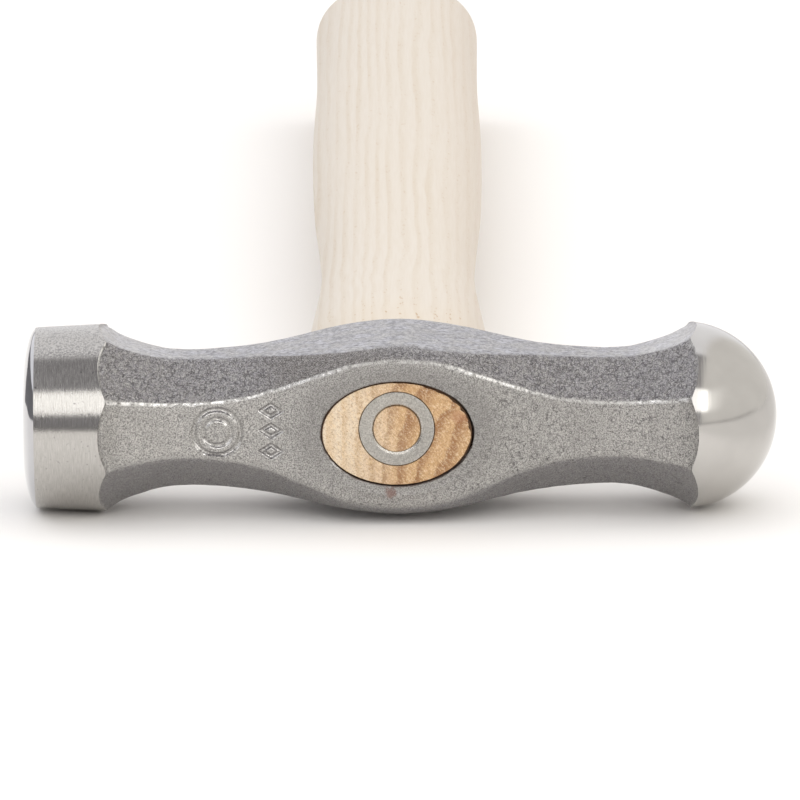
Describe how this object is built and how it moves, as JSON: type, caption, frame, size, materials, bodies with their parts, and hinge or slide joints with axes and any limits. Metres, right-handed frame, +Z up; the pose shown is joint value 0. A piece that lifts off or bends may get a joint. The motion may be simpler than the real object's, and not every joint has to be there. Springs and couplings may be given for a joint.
{
  "type": "embossing hammer",
  "caption": "Small metalworking hammer: forged steel head with a crowned flat face and a polished ball face, wedged on an oval ash handle with a steel ring wedge.",
  "frame": {"origin": "centre of the hammer's box in X and Y, at the surface that it lies on", "axes": "+X along the head from the flat face to the ball, +Y along the handle from the head to the butt, +Z up through the cheeks, with the hammer lying on its side"},
  "size_m": [0.1166, 0.308, 0.029],
  "materials": {
    "forged_steel": "grey drop-forged skin with a fine grain, a turned and brushed barrel, and a mirror-polished face and ball",
    "ash": "pale ash, sanded smooth and unvarnished, with long soft grain",
    "wedge_steel": "dull grey steel, sanded flush with the wood"
  },
  "bodies": {
    "root": {"head": "forged_steel", "handle": "ash", "ring_wedge": "wedge_steel"}
  },
  "joints": []
}
